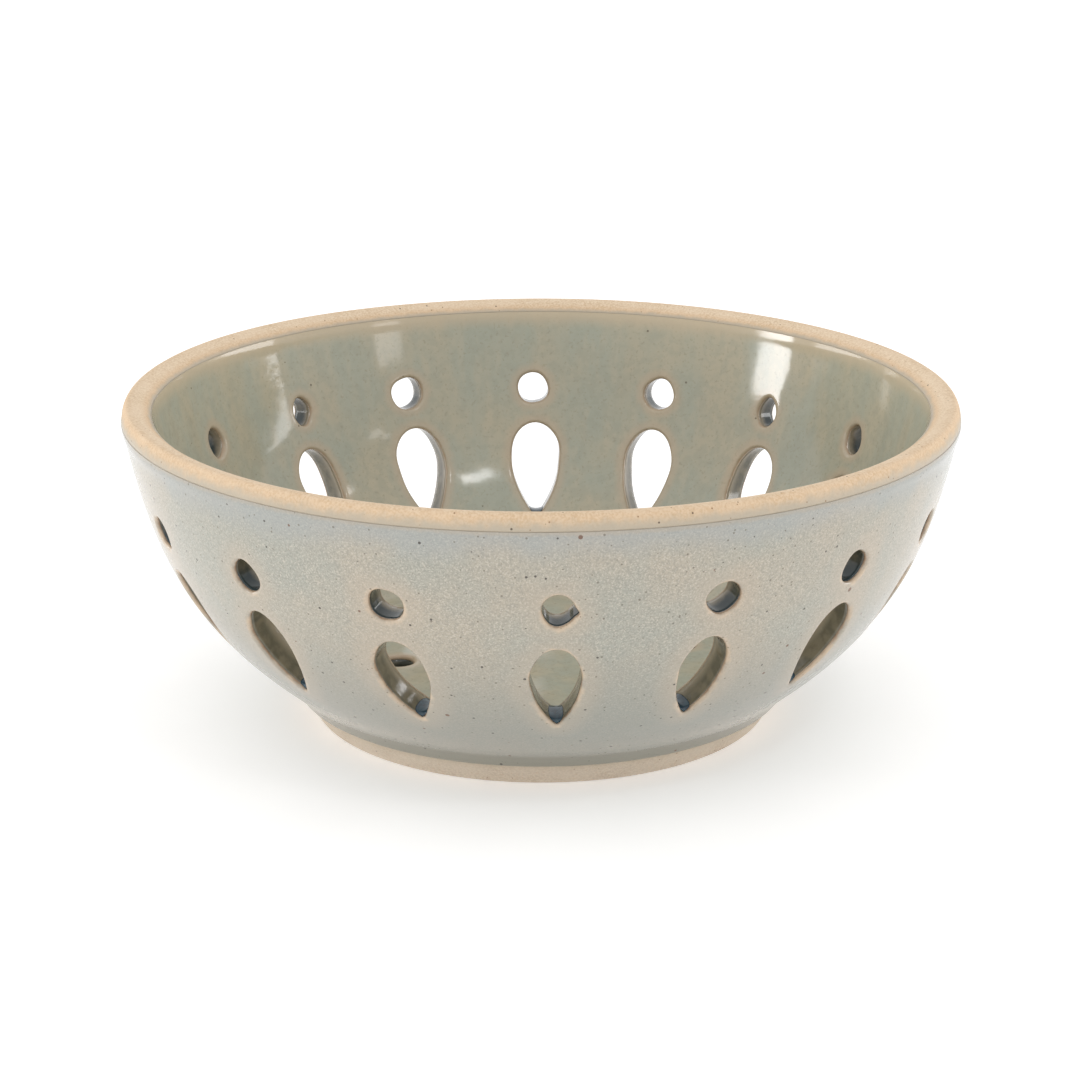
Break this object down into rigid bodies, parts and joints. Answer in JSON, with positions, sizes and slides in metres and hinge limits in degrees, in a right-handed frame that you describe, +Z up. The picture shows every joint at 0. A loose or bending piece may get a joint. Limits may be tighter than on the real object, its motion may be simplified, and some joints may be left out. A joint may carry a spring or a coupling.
{
  "type": "berry colander bowl",
  "caption": "Small footed stoneware bowl whose wall is pierced by pairs of round and leaf-shaped drain holes, with a glazed body and a bare lip and foot.",
  "frame": {"origin": "centre of the plane that the foot ring rests on", "axes": "+Z up along the bowl's axis; one pair of wall holes faces -Y"},
  "size_m": [0.127, 0.127, 0.0498],
  "materials": {
    "bare_clay": "matte sandy unglazed stoneware",
    "clay_body": "matte stoneware under the glaze",
    "outer_glaze": "satin speckled grey-beige glaze with blue-grey cloudiness",
    "inner_glaze": "glossy grey-green glaze",
    "hole_glaze": "glossy dark olive glaze",
    "pooled_glaze": "glossy thick blue-green glaze"
  },
  "bodies": {
    "root": {"foot_ring": "bare_clay", "floor": "clay_body", "wall": "clay_body", "rim": "bare_clay", "outer_glaze": "outer_glaze", "inner_glaze": "inner_glaze", "underside_glaze": "outer_glaze", "round_hole_glaze": "hole_glaze", "leaf_hole_glaze": "hole_glaze", "leaf_tip_beads": "pooled_glaze", "drain_hole_glaze": "hole_glaze"}
  },
  "joints": []
}
